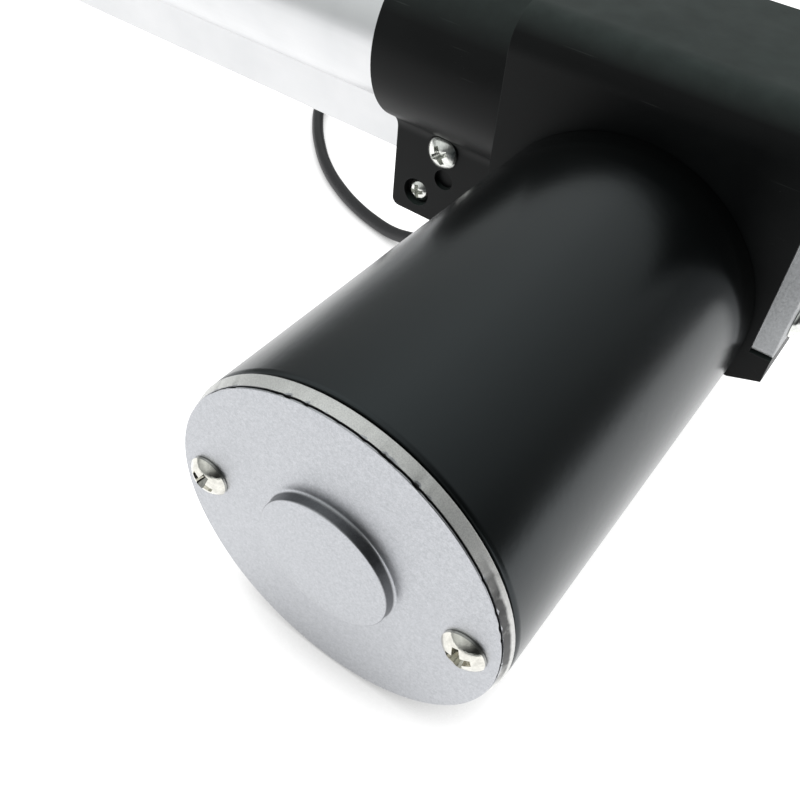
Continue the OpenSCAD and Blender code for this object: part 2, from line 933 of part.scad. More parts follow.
// the worm's thread: a right-hand helix on the motor axis, its crest at y = 0 on the top
module worm_thread() {
  steps = 20;
  turns = 5;
  low_r = worm_root_r - 0.4;
  count = turns * steps;
  points = [
    for (i = [0:count])
      let (
        turn = 360 * i / steps,
        y = worm_lead * (i / steps - turns / 2),
        outward = [sin(turn + 180 * turns), cos(turn + 180 * turns)]
      )
      for (p = [[low_r, -1], [low_r, 1], [worm_tip_r, 1], [worm_tip_r, -1]])
        [p[0] * outward[0], y + p[1] * thread_half(p[0]), p[0] * outward[1]]
  ];
  sides_faces = [
    for (i = [0:count - 1])
      for (k = [0:3])
        let (a = i * 4 + k, b = i * 4 + (k + 1) % 4)
        [a, a + 4, b + 4, b]
  ];
  start = [[0, 1, 2, 3]];
  end = [[for (k = [3:-1:0]) count * 4 + k]];
  translate([motor_x, 0, motor_z])
    polyhedron(points = points, faces = concat(start, sides_faces, end), convexity = 12);
}

module worm() {
  color([0.7, 0.71, 0.73])
    difference() {
      union() {
        worm_thread();
        along_y(worm_y[0], worm_y[1], worm_root_r);
      }
      along_y(worm_y[0] - 1, worm_y[1] + 1, shaft_r);
    }
}

// involute points from the base circle to the tip, turned so that the tooth is centred on 0
function involute_flank(side) =
  let (
    base_r = wheel_pitch_r * cos(pressure_angle),
    tip_r = wheel_pitch_r + gear_module * 0.95,
    half = 90 / wheel_teeth - backlash / 4 / wheel_pitch_r * 180 / PI,
    inv_pitch = (tan(pressure_angle) - pressure_angle * PI / 180) * 180 / PI,
    n = 5
  )
  [
    for (i = [0:n])
      let (
        r = base_r + (tip_r - base_r) * i / n,
        a = acos(base_r / r),
        inv = (tan(a) - a * PI / 180) * 180 / PI,
        angle = side * (half + inv_pitch - inv)
      )
      r * [cos(angle), sin(angle)]
  ];

module wheel_outline() {
  root_r = wheel_pitch_r - gear_module * 1.25;
  circle(r = root_r, $fn = 60);
  for (i = [0:wheel_teeth - 1])
    rotate((i + 0.5) * 360 / wheel_teeth) {
      low = involute_flank(-1);
      high = involute_flank(1);
      polygon(concat(
        [[root_r - 1, low[0][1]]],
        low,
        [for (k = [len(high) - 1:-1:0]) high[k]],
        [[root_r - 1, high[0][1]]]
      ));
    }
}

module worm_wheel() {
  width = wheel_x[1] - wheel_x[0];
  twist_angle = width * tan(lead_angle) / wheel_pitch_r * 180 / PI;
  color([0.9, 0.88, 0.8])
    difference() {
      union() {
        translate([wheel_x[0], 0, 0])
          rotate([0, 90, 0])
            rotate([0, 0, -twist_angle / 2])
              linear_extrude(height = width, twist = -twist_angle, slices = 2)
                wheel_outline();
        along_x(hub_x[0], hub_x[1], hub_r);
      }
      along_x(hub_x[0] - 1, hub_x[1] + 1, front_bearing_r[0] + seat);
      box([hub_x[0] - 1, -key_half - seat, 0], [hub_x[1] + 1, key_half + seat, key_z[1] + seat]);
      for (turn = [30:60:330])
        rotate([turn, 0, 0])
          translate([wheel_x[0] - 1, 0, 11.6])
            rotate([0, 90, 0])
              cylinder(h = 2.5, r = 1.5, $fn = 24);
    }
}

module wheel_key() {
  color("gray")
    box([key_x[0], -key_half, key_z[0]], [key_x[1], key_half, key_z[1]]);
}

// ---------- lead screw ----------

module lead_screw() {
  last = floor((nut_x0 + nut_len + stroke - thread_x0) / screw_lead) - 1;
  ridges = [
    for (i = [0:last])
      let (x = thread_x0 + 0.5 + i * screw_lead)
      for (p = [[0.5, thread_core_r], [1.1, thread_crest_r], [3.2, thread_crest_r], [3.8, thread_core_r]])
        [x + p[0] * screw_lead / 5, p[1]]
  ];
  color([0.75, 0.76, 0.78])
    difference() {
      turned_x(concat(
        [[screw_x0, 0], [screw_x0, 4.5], [screw_x0 + 0.5, rear_bearing_r[0]],
         [rear_bearing_x[1], rear_bearing_r[0]], [rear_bearing_x[1], front_bearing_r[0]],
         [front_bearing_x[1] + 0.5, front_bearing_r[0]], [front_bearing_x[1] + 0.5, 8],
         [thread_x0, 8], [thread_x0, thread_core_r]],
        ridges,
        [[screw_x1 - 7, thread_core_r], [screw_x1 - 7, 4], [screw_x1 - 0.5, 4], [screw_x1, 3.5],
         [screw_x1, 0]]
      ));
      box([key_x[0] - seat, -key_half - seat, key_z[0]], [key_x[1] + seat, key_half + seat, 8]);
    }
}

module lock_nut() {
  color("silver")
    difference() {
      translate([screw_x0 + 0.5, 0, 0])
        rotate([0, 90, 0])
          cylinder(h = lock_nut_len, r = 9, $fn = 6);
      along_x(screw_x0 - 1, screw_x0 + lock_nut_len + 2, rear_bearing_r[0] + seat);
    }
}

module screw_tip_guide() {
  color("ivory")
    ring_x([screw_x1 - 6.5, screw_x1 - 1], [4 + seat, rod_r - rod_wall - 0.3]);
}

// ---------- rod ----------

module inner_rod() {
  color([0.85, 0.86, 0.87])
    difference() {
      along_x(rod_x0, rod_x1, rod_r);
      along_x(rod_x0 - 1, rod_x1 + 1, rod_r - rod_wall);
      along_y(-20, 20, pin_r, [rod_x1 - pin_back, 0]);
    }
}

module drive_nut() {
  color("khaki")
    difference() {
      union() {
        along_x(nut_x0, rod_x0, tube_r - tube_wall - 0.3);
        along_x(rod_x0 - eps, nut_x0 + nut_len, rod_r - rod_wall - seat);
      }
      along_x(nut_x0 - 1, nut_x0 + nut_len + 1, thread_crest_r + 0.3);
      box([nut_x0 - 1, -cam_half, -20], [rod_x0 - 1, cam_half, cam_z[1]]);
    }
}

module switch_cam() {
  color([0.15, 0.15, 0.16])
    box([nut_x0, -cam_half, cam_z[0]], [rod_x0 - 1, cam_half, cam_z[1]]);
}

module rod_end() {
  head_x0 = rod_x1;
  color([0.7, 0.71, 0.73])
    difference() {
      union() {
        along_x(rod_x1 - 14, rod_x1 + eps, rod_r - rod_wall - seat);
        along_x(head_x0, head_x0 + 4, rod_r);
        intersection() {
          union() {
            along_x(head_x0, front_pivot_x, rod_r);
            translate([front_pivot_x, 0, -rod_r])
              cylinder(h = 2 * rod_r, r = rod_r);
          }
          box([head_x0, -rod_r - 1, -rod_end_t / 2], [front_pivot_x + 20, rod_r + 1, rod_end_t / 2]);
        }
      }
      translate([front_pivot_x, 0, -20])
        cylinder(h = 40, r = pivot_r);
      along_y(-20, 20, pin_r, [rod_x1 - pin_back, 0]);
    }
}

module rod_end_pin() {
  color("gray")
    along_y(0.2 - rod_r, rod_r - 0.2, pin_r - run, [rod_x1 - pin_back, 0]);
}

// ---------- limit switches ----------

module switch_board() {
  color("darkgreen")
    box([tube_x0 + 2, -board_half, board_z[0]], [tube_x1 - 2, board_half, board_z[1]]);
}

module limit_switches() {
  color([0.1, 0.1, 0.12])
    for (x = [nut_x0 - 2.2, rod_x0 - 14 + stroke]) {
      box([x, -board_half, board_z[1]], [x + 10.6, board_half, switch_top]);
      box([x + 4.5, -1, switch_top - eps], [x + 6, 1, switch_top + 1]);
    }
}

// ---------- cable ----------

module cable_grommet() {
  color([0.05, 0.05, 0.05])
    translate([0, cable_exit[1], cable_exit[2]])
      difference() {
        turned_x([
          [wire_room_x[1], 0], [wire_room_x[1], grommet_r - seat], [body_x1, grommet_r - seat],
          [body_x1, 4.4],
          [body_x1 + 1.2, 4.4], [body_x1 + 1.4, 3.6], [grommet_x1, 2.6], [grommet_x1, 0]
        ]);
        along_x(wire_room_x[1] - 1, grommet_x1 + 1, cable_r);
      }
}

module power_cable() {
  color([0.07, 0.07, 0.075])
    swept_tube(cable_route, cable_r, 8);
}

module cable_coil() {
  half = coil_pitch * coil_rows / 2;
  height = coil_pitch * coil_layers;
  color([0.07, 0.07, 0.075])
    translate([coil_centre[0], coil_centre[1], base_z])
      rotate_extrude($fn = 48)
        translate([coil_r - half, 0.05])
          square([2 * half, height]);
}

module cable_tail() {
  color([0.07, 0.07, 0.075])
    swept_tube(tail_route, cable_r, 8);
}

module cable_tie() {
  half = coil_pitch * coil_rows / 2;
  height = coil_pitch * coil_layers;
  color([0.02, 0.02, 0.02])
    translate([coil_centre[0], coil_centre[1], base_z])
      difference() {
        box([-2, coil_r - half - 1, 0], [2, coil_r + half + 1, height + 1]);
        box([-3, coil_r - half, -1], [3, coil_r + half, height + 0.1]);
      }
}

module cable_plug() {
  start = tail_route[len(tail_route) - 1];
  color([0.85, 0.84, 0.8])
    translate([start[0] - plug_size[0] / 2, start[1] - plug_size[1], base_z + 0.05])
      difference() {
        cube(plug_size);
        for (x = [2.5, 6.5])
          translate([x, -1, plug_size[2] / 2])
            rotate([-90, 0, 0])
              cylinder(h = 7, r = 1.1, $fn = 24);
      }
}

gearbox_front_half();
gearbox_back_half();
housing_screws();
tab_screws();
rear_clevis();
rear_bush();
clevis_screws();
outer_tube();
tube_end_cap();
end_cap_screws();
rod_guide_bush();
rod_wiper();
rear_screw_bearing();
front_screw_bearing();
worm_end_bush();
motor_can();
motor_end_cap();
motor_through_bolts();
motor_flange();
flange_screws();
field_magnets();
cap_bearing();
flange_bearing();
brush_holder();
brushes();
brush_springs();
switch_board();
limit_switches();
cable_grommet();
motor_shaft();
armature_core();
armature_windings();
commutator();
worm();
lead_screw();
worm_wheel();
wheel_key();
lock_nut();
screw_tip_guide();
inner_rod();
drive_nut();
switch_cam();
rod_end();
rod_end_pin();
power_cable();
cable_coil();
cable_tail();
cable_tie();
cable_plug();
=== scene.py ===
"""The looks of a linear actuator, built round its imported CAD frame.

Lengths are in metres in the CAD frame: +X the way the rod extends, +Y out along the motor, +Z up.
Sizes come from the CAD nodes' boxes; MM turns a millimetre value into metres.
"""

import json
import math

import bmesh
import bpy
from mathutils import Matrix, Quaternion, Vector, noise


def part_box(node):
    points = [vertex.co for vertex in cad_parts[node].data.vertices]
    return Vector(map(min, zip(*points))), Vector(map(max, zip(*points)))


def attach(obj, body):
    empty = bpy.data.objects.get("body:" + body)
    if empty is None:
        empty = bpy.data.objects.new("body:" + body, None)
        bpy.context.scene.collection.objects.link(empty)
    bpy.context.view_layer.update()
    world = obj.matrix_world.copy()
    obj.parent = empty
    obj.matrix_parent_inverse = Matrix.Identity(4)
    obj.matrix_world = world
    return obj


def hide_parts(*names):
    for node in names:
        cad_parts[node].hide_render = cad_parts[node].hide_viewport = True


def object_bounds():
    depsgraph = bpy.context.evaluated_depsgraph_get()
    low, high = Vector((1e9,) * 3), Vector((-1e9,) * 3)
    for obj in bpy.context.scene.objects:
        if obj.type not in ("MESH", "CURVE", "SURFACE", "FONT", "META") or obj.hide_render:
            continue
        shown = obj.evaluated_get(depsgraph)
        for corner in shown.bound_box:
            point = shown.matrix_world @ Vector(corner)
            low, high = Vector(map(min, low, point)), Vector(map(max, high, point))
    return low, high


MM = 0.001
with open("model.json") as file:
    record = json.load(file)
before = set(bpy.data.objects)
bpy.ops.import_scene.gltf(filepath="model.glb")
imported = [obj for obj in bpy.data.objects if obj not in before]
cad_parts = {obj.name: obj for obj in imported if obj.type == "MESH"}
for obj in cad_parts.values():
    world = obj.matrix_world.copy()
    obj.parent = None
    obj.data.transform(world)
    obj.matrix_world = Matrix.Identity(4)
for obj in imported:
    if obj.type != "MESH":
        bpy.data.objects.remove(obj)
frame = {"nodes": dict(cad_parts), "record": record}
cad_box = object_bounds()
nodes = frame["nodes"]
scene = bpy.context.scene

# The end cap's sizes in millimetres, which its mesh and its look share.
boss_r = 12.4
boss_h = 2.0
# how far inside the lip's radius the conical band ends, the groove's floor lies and the flat face starts
band_in = 0.62
groove_in = 1.1
face_in = 0.92
# how far behind the face the groove's two walls stand
groove_back = 0.58
groove_front = 0.26


# ---------- camera ----------

def make_camera():
    """The photograph's view: close to the motor's end cap, looking down on it."""
    data = bpy.data.cameras.new("camera")
    data.sensor_width = 36
    data.lens = 41.36
    data.clip_start = 0.005
    data.clip_end = 20
    camera = bpy.data.objects.new("camera", data)
    scene.collection.objects.link(camera)
    camera.location = (0.01041, 0.17564, 0.09388)
    aim = Vector((0.08763, 0.05300, -0.05650))
    roll = Quaternion((0, 0, 1), math.radians(5.92))
    camera.rotation_mode = "QUATERNION"
    camera.rotation_quaternion = (aim - camera.location).to_track_quat("-Z", "Y") @ roll
    scene.camera = camera


make_camera()


# ---------- cable ----------

cable_d = 3.5 * MM
floor_z = cad_box[0].z
lie_z = floor_z + cable_d / 2 + 0.05 * MM
route_mm = [
    (100.5, 7.5, -48.5), (107, 7.5, -48.9), (113, 7.4, -50.2), (119, 6.9, -52.3), (125, 6, -54),
]
route_on_floor_mm = [
    (132, 4.5), (141, 2), (150, -2), (159, -7.5), (168, -15), (177, -24.5), (184, -34),
    (189.5, -44), (193.5, -52),
]
tail_mm = [(197.6, -74, 2.6), (197.5, -82, 0.7), (197.4, -90, 0), (197.2, -97, 0), (197.2, -104, 0)]


def smooth_step(t):
    t = min(max(t, 0), 1)
    return t * t * (3 - 2 * t)


def coil_points():
    """The turns of the coil: inwards along the bottom, up, and outwards along the top."""
    lo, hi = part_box("cable_coil")
    centre = (lo + hi) / 2
    pitch = cable_d + 0.1 * MM
    outer_r = (hi.x - lo.x) / 2 - pitch / 2
    steps = 16
    first_angle = math.radians(18)
    turns = 5 + 18 / 360
    count = round(turns * steps)
    move = 0.12
    points = []
    for i in range(count + 1):
        done = turns * i / count
        # each move has its own slot in its turn, so that the strands never meet
        late = {0: 2 * move, 1: 2 * move, 2: move, 3: 0, 4: 0}
        step = [smooth_step((done - 0.5 - k - late[k]) / move) for k in range(5)]
        column = step[0] + step[1] - step[3] - step[4]
        radius = outer_r - pitch * column
        angle = first_angle - 2 * math.pi * done
        points.append(Vector((
            centre.x + radius * math.cos(angle),
            centre.y + radius * math.sin(angle),
            lie_z + pitch * step[2],
        )))
    return points


def make_cable():
    """The whole cable as one curve: out of its exit, along the floor, through the coil to the plug."""
    points = [Vector(p) * MM for p in route_mm]
    points += [Vector((x * MM, y * MM, lie_z)) for x, y in route_on_floor_mm]
    points += coil_points()
    points += [Vector((x * MM, y * MM, lie_z + z * MM)) for x, y, z in tail_mm]
    curve = bpy.data.curves.new("power_lead", "CURVE")
    curve.dimensions = "3D"
    curve.bevel_depth = 1.0
    curve.bevel_resolution = 5
    curve.resolution_u = 6
    curve.use_fill_caps = True
    spline = curve.splines.new("BEZIER")
    spline.bezier_points.add(len(points) - 1)
    for knot, point in zip(spline.bezier_points, points):
        knot.co = point
        knot.radius = cable_d / 2
        knot.handle_left_type = "AUTO"
        knot.handle_right_type = "AUTO"
    lead = bpy.data.objects.new("power_lead", curve)
    scene.collection.objects.link(lead)
    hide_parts("power_cable", "cable_coil", "cable_tail")
    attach(lead, "housing")
    return lead


cable = make_cable()


# ---------- mesh helpers ----------

def show(name, mesh, stands_for, slot, body="housing"):
    """Puts a finished mesh in the scene in place of a CAD node, riding on the body it is given."""
    piece = bpy.data.objects.new(name, mesh)
    scene.collection.objects.link(piece)
    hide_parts(stands_for)
    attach(piece, body)
    piece.data.materials.clear()
    piece.data.materials.append(looks[slot])
    return piece


def smooth_but_for(mesh, degrees):
    """Smooth shading, with every edge sharper than this left crisp."""
    mesh.shade_smooth()
    mesh.set_sharp_from_angle(angle=math.radians(degrees))


def arc(centre, radius, start, end, steps):
    """Points on an arc, in degrees, as (along, out) pairs."""
    angles = [math.radians(start + (end - start) * i / steps) for i in range(steps + 1)]
    return [(centre[0] + radius * math.cos(a), centre[1] + radius * math.sin(a)) for a in angles]


def lathe(name, profile, steps, wobble=None):
    """Turns (along, out) points, in millimetres, around Z. Points on the axis become one vertex.

    A profile whose ends are both off the axis is closed on itself. wobble(along, out, angle)
    may return a changed pair, for a rough or worn ring.
    """
    bm = bmesh.new()
    rings = []
    for along, out in profile:
        if out == 0:
            rings.append([bm.verts.new((0, 0, along * MM))])
            continue
        ring = []
        for i in range(steps):
            angle = 2 * math.pi * i / steps
            z, r = wobble(along, out, angle) if wobble else (along, out)
            ring.append(bm.verts.new((r * MM * math.cos(angle), r * MM * math.sin(angle), z * MM)))
        rings.append(ring)
    pairs = list(zip(rings, rings[1:]))
    if profile[0][1] != 0 and profile[-1][1] != 0:
        pairs.append((rings[-1], rings[0]))
    for low, high in pairs:
        for i in range(steps):
            j = (i + 1) % steps
            corners = [low[i % len(low)], low[j % len(low)], high[j % len(high)], high[i % len(high)]]
            bm.faces.new(list(dict.fromkeys(corners)))
    bmesh.ops.recalc_face_normals(bm, faces=bm.faces)
    mesh = bpy.data.meshes.new(name)
    bm.to_mesh(mesh)
    bm.free()
    return mesh


def cut(mesh, tool):
    """The first mesh with the second taken out of it."""
    work = bpy.data.objects.new("work", mesh)
    knife = bpy.data.objects.new("knife", tool)
    scene.collection.objects.link(work)
    scene.collection.objects.link(knife)
    taken = work.modifiers.new("cut", "BOOLEAN")
    taken.operation = "DIFFERENCE"
    taken.solver = "EXACT"
    taken.object = knife
    bpy.context.view_layer.update()
    result = bpy.data.meshes.new_from_object(work.evaluated_get(bpy.context.evaluated_depsgraph_get()))
    result.name = mesh.name
    bpy.data.objects.remove(work)
    bpy.data.objects.remove(knife)
    return result


def solids_of(node):
    """The separate solids of a CAD node, as their boxes' corners in metres, in a fixed order."""
    bm = bmesh.new()
    bm.from_mesh(nodes[node].data)
    bmesh.ops.remove_doubles(bm, verts=bm.verts, dist=0.001 * MM)
    bm.verts.ensure_lookup_table()
    seen = set()
    boxes = []
    for first in bm.verts:
        if first in seen:
            continue
        seen.add(first)
        group = [first]
        for vert in group:
            for edge in vert.link_edges:
                other = edge.other_vert(vert)
                if other not in seen:
                    seen.add(other)
                    group.append(other)
        lo = Vector([min(v.co[k] for v in group) for k in range(3)])
        hi = Vector([max(v.co[k] for v in group) for k in range(3)])
        boxes.append((lo, hi))
    bm.free()
    return sorted(boxes, key=lambda pair: tuple(round(c, 6) for c in pair[0]))


# ---------- materials ----------

class Look:
    """A procedural material: one Principled shader fed by noises in the object's own coordinates."""

    def __init__(self, name):
        self.material = bpy.data.materials.new(name)
        self.material.use_nodes = True
        self.nodes = self.material.node_tree.nodes
        self.links = self.material.node_tree.links
        self.shader = self.nodes["Principled BSDF"]
        self.place = self.nodes.new("ShaderNodeTexCoord").outputs["Object"]

    def set(self, **values):
        for name, value in values.items():
            self.feed(self.shader.inputs[name.replace("_", " ")], value)

    def feed(self, socket, value):
        if isinstance(value, bpy.types.NodeSocket):
            self.links.new(value, socket)
        else:
            socket.default_value = value

    def add(self, kind, inputs, output=0, **settings):
        node = self.nodes.new(kind)
        for name, value in settings.items():
            setattr(node, name, value)
        for name, value in inputs.items():
            self.feed(node.inputs[name], value)
        return node.outputs[output]

    def noise(self, size_mm, detail=3.0, stretch=(1, 1, 1), turn=(0, 0, 0), roughness=0.55):
        """Noise whose features are about size_mm across."""
        vector = self.place
        if stretch != (1, 1, 1) or turn != (0, 0, 0):
            vector = self.add(
                "ShaderNodeMapping", {"Vector": vector, "Rotation": turn, "Scale": stretch}
            )
        return self.add("ShaderNodeTexNoise", {
            "Vector": vector, "Scale": 1 / (size_mm * MM), "Detail": detail, "Roughness": roughness,
        })

    def spread(self, value, low, high, to_low, to_high):
        return self.add("ShaderNodeMapRange", {
            "Value": value, "From Min": low, "From Max": high, "To Min": to_low, "To Max": to_high,
        })

    def maths(self, operation, a, b):
        return self.add("ShaderNodeMath", {0: a, 1: b}, operation=operation)

    def tint(self, factor, low, high):
        """A colour between low and high."""
        node = self.nodes.new("ShaderNodeMix")
        node.data_type = "RGBA"
        self.feed(node.inputs[0], factor)
        self.feed(node.inputs[6], low)
        self.feed(node.inputs[7], high)
        return node.outputs[2]

    def edges(self, width_mm):
        """1 along convex and concave edges, fading to 0 this far from them."""
        rounded = self.add("ShaderNodeBevel", {"Radius": width_mm * MM}, samples=6)
        normal = self.nodes.new("ShaderNodeNewGeometry").outputs["Normal"]
        facing = self.add(
            "ShaderNodeVectorMath", {0: rounded, 1: normal}, output="Value", operation="DOT_PRODUCT"
        )
        return self.spread(facing, 0.995, 0.85, 0.0, 1.0)

    def upward(self):
        """1 where a surface looks up, 0 where it is upright or looks down."""
        normal = self.nodes.new("ShaderNodeNewGeometry").outputs["Normal"]
        height = self.add("ShaderNodeSeparateXYZ", {"Vector": normal}, output="Z")
        return self.spread(height, 0.5, 0.95, 0.0, 1.0)

    def bump(self, height, depth_mm, strength=1.0):
        return self.add("ShaderNodeBump", {
            "Height": height, "Distance": depth_mm * MM, "Strength": strength,
        })


def grey(colour, factor):
    return tuple(c * factor for c in colour) + (1,)


def finish_look(
    name, colour, roughness, metallic=0.0, grain_mm=0.4, change=0.12, depth_mm=0.02,
    stretch=(1, 1, 1), wear=0.0, wear_colour=None, coat=0.0,
):
    """The common finish: fine grain and broad blotches in colour and roughness, and a fine bump."""
    look = Look(name)
    grain = look.noise(grain_mm, detail=4, stretch=stretch)
    blotch = look.noise(grain_mm * 25, detail=3)
    mixed = look.maths("ADD", look.maths("MULTIPLY", grain, 0.65), look.maths("MULTIPLY", blotch, 0.35))
    factor = look.spread(mixed, 0.3, 0.7, 0.0, 1.0)
    shade = look.tint(factor, grey(colour, 1 - change), grey(colour, 1 + change))
    if wear:
        rubbed = look.maths("MULTIPLY", look.edges(0.45), look.spread(blotch, 0.4, 0.65, 0.15, wear))
        shade = look.tint(rubbed, shade, tuple(wear_colour) + (1,))
    look.set(
        Base_Color=shade, Metallic=metallic,
        Roughness=look.spread(mixed, 0.3, 0.7, roughness * 0.88, roughness * 1.12),
        Normal=look.bump(grain, depth_mm), Coat_Weight=coat,
    )
    return look


def nylon_look():
    """Black glass-filled nylon: fine grain, faint scratches, a painted greenish highlight on faces that look
    up, edges rubbed a little lighter.
    """
    look = Look("housing_nylon")
    spark = look.noise(0.22, detail=3)
    cloud = look.noise(14, detail=4)
    scratch_a = look.noise(0.5, detail=2, stretch=(0.02, 1, 1), turn=(0, 0.2, 0.5))
    scratch_b = look.noise(0.4, detail=2, stretch=(1, 0.03, 1), turn=(0.3, 0, -0.4))
    lines = look.maths(
        "ADD", look.spread(scratch_a, 0.70, 0.76, 0.0, 1.0), look.spread(scratch_b, 0.71, 0.77, 0.0, 1.0)
    )
    patches = look.maths("MULTIPLY", lines, look.spread(look.noise(9, detail=2), 0.5, 0.62, 0.0, 1.0))
    base = look.tint(
        look.spread(cloud, 0.3, 0.7, 0, 1), (0.0035, 0.004, 0.0042, 1), (0.006, 0.0068, 0.007, 1)
    )
    marked = look.tint(look.maths("MULTIPLY", patches, 0.35), base, (0.07, 0.075, 0.072, 1))
    rim = look.maths("MULTIPLY", look.edges(0.35), look.spread(cloud, 0.4, 0.65, 0.12, 0.5))
    # faces that look up are painted a lighter greenish grey in patches: a painted highlight
    top_highlight_patches = look.spread(look.noise(5, detail=5), 0.3, 0.7, 0.7, 1.0)
    top_painted_highlight = look.maths("MULTIPLY", look.upward(), top_highlight_patches)
    with_top_highlight = look.tint(top_painted_highlight, marked, (0.046, 0.06, 0.056, 1))
    look.set(
        Base_Color=look.tint(rim, with_top_highlight, (0.06, 0.063, 0.063, 1)),
        Roughness=look.maths(
            "ADD", look.spread(cloud, 0.3, 0.7, 0.38, 0.46), look.maths("MULTIPLY", patches, -0.06)
        ),
        Normal=look.bump(look.maths("ADD", spark, look.maths("MULTIPLY", lines, 0.3)), 0.012),
        Specular_IOR_Level=0.12,
    )
    return look


def can_look():
    """Satin black lacquer on rolled steel: a faint orange peel, and reflections a little blue."""
    look = Look("motor_paint")
    peel = look.noise(1.6, detail=2)
    fine = look.noise(0.16, detail=3)
    cloud = look.noise(22, detail=3)
    look.set(
        Base_Color=look.tint(
            look.spread(fine, 0.25, 0.75, 0, 1), (0.0028, 0.0033, 0.0033, 1), (0.0045, 0.0052, 0.0052, 1)
        ),
        Roughness=look.maths(
            "ADD", look.spread(cloud, 0.3, 0.7, 0.22, 0.26), look.spread(fine, 0.2, 0.8, -0.03, 0.03)
        ),
        Normal=look.bump(look.maths("ADD", peel, look.maths("MULTIPLY", fine, 0.25)), 0.012),
        Specular_Tint=(0.84, 0.95, 1, 1),
    )
    return look


def cap_masks(look):
    """Where the cap's band, the painted shade in its groove and on its boss's side, and the band's darker
    patches towards -X are, from 0 to 1.
    """
    lo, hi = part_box("motor_end_cap")
    radius = (hi.x - lo.x) / 2
    face = hi.y - boss_h * MM
    centre = look.add("ShaderNodeVectorMath", {0: look.place, 1: (lo + hi) / 2}, operation="SUBTRACT")
    across = look.add("ShaderNodeVectorMath", {0: centre, 1: (1, 0, 1)}, operation="MULTIPLY")
    out = look.add("ShaderNodeVectorMath", {0: across}, output="Value", operation="LENGTH")
    along = look.add("ShaderNodeSeparateXYZ", {"Vector": look.place}, output="Y")
    band_edge = radius - band_in * MM
    band = look.spread(out, band_edge - 0.06 * MM, band_edge - 0.02 * MM, 0.0, 1.0)
    # the groove's floor is painted near-black and less metallic: painted shade in the recess
    groove = face - groove_front * MM
    groove_painted_shade = look.maths(
        "MULTIPLY", look.spread(out, band_edge - 0.18 * MM, band_edge - 0.12 * MM, 1.0, 0.0),
        look.spread(along, groove - 0.04 * MM, groove + 0.02 * MM, 1.0, 0.0),
    )
    # a ring round the boss's side, in front of the face: painted shade where the boss meets the face
    on_boss = look.maths(
        "MULTIPLY", look.spread(out, (boss_r - 0.15) * MM, boss_r * MM, 0.0, 1.0),
        look.spread(out, (boss_r + 0.2) * MM, (boss_r + 0.55) * MM, 1.0, 0.0),
    )
    above = look.spread(along, face + 0.1 * MM, face + 0.3 * MM, 0.0, 0.62)
    boss_painted_shade = look.maths("MULTIPLY", above, on_boss)
    # the band is painted darker in patches towards -X, and the lip itself is left clean
    darker_side_way = (-0.966, 0, 0.259)
    reach = look.add(
        "ShaderNodeVectorMath", {0: across, 1: darker_side_way}, output="Value", operation="DOT_PRODUCT"
    )
    patchy = look.maths(
        "MULTIPLY", look.spread(out, radius - 0.3 * MM, radius - 0.18 * MM, 1.0, 0.1),
        look.spread(look.noise(2.4, detail=5), 0.3, 0.5, 0.5, 1.0),
    )
    band_darkening = look.maths("MULTIPLY", look.spread(reach, radius * 0.88, radius * 0.96, 0.0, 0.9), patchy)
    return band, groove_painted_shade, boss_painted_shade, band_darkening


def cast_cap_look():
    """Tumbled aluminium die casting: fine specks, a paler rough band darker in patches towards -X, and
    painted shade in the cap's groove and on its boss's side.
    """
    look = Look("die_cast")
    band, groove_painted_shade, boss_painted_shade, band_darkening = cap_masks(look)
    speck = look.noise(0.2, detail=5, roughness=0.7)
    sand = look.noise(0.55, detail=3)
    cloud = look.noise(16, detail=3)
    pits = look.spread(look.noise(0.34, detail=2), 0.66, 0.76, 0.0, 1.0)
    mixed = look.maths("ADD", look.maths("MULTIPLY", speck, 0.7), look.maths("MULTIPLY", sand, 0.3))
    shade = look.tint(look.spread(mixed, 0.34, 0.66, 0, 1), (0.33, 0.34, 0.36, 1), (0.53, 0.54, 0.565, 1))
    pitted = look.tint(look.maths("MULTIPLY", pits, 0.35), shade, (0.28, 0.28, 0.29, 1))
    # the boss's side painted near-black: painted shade
    with_boss_painted_shade = look.tint(boss_painted_shade, pitted, (0.02, 0.02, 0.021, 1))
    rim = look.maths("MULTIPLY", look.edges(0.25), look.spread(cloud, 0.35, 0.65, 0.0, 0.5))
    worn = look.tint(rim, with_boss_painted_shade, (0.86, 0.86, 0.87, 1))
    coarse = look.tint(look.spread(speck, 0.36, 0.64, 0, 1), (0.66, 0.66, 0.65, 1), (0.86, 0.86, 0.84, 1))
    # the band painted darker in patches towards -X
    band_darkened = look.tint(band_darkening, coarse, (0.05, 0.05, 0.052, 1))
    banded = look.tint(band, worn, band_darkened)
    look.set(
        # painted shade: the groove's floor near-black
        Base_Color=look.tint(groove_painted_shade, banded, (0.03, 0.03, 0.03, 1)),
        Metallic=look.maths("SUBTRACT", 1.0, look.maths("MULTIPLY", groove_painted_shade, 0.6)),
        Roughness=look.maths(
            "ADD", look.spread(mixed, 0.3, 0.7, 0.30, 0.40), look.maths("MULTIPLY", band, 0.2)
        ),
        Normal=look.bump(mixed, 0.035),
    )
    return look


def tube_look():
    """Satin anodised extrusion: fine lines along the tube."""
    look = Look("tube_aluminium")
    lines = look.noise(0.35, detail=3, stretch=(0.012, 1, 1))
    fine = look.noise(0.2, detail=3)
    cloud = look.noise(18, detail=3)
    look.set(
        Base_Color=look.tint(
            look.spread(cloud, 0.3, 0.7, 0, 1), (0.63, 0.636, 0.646, 1), (0.69, 0.693, 0.702, 1)
        ),
        Metallic=0.85,
        Roughness=look.spread(lines, 0.3, 0.7, 0.30, 0.40),
        Normal=look.bump(look.maths("ADD", lines, look.maths("MULTIPLY", fine, 0.3)), 0.008),
    )
    return look


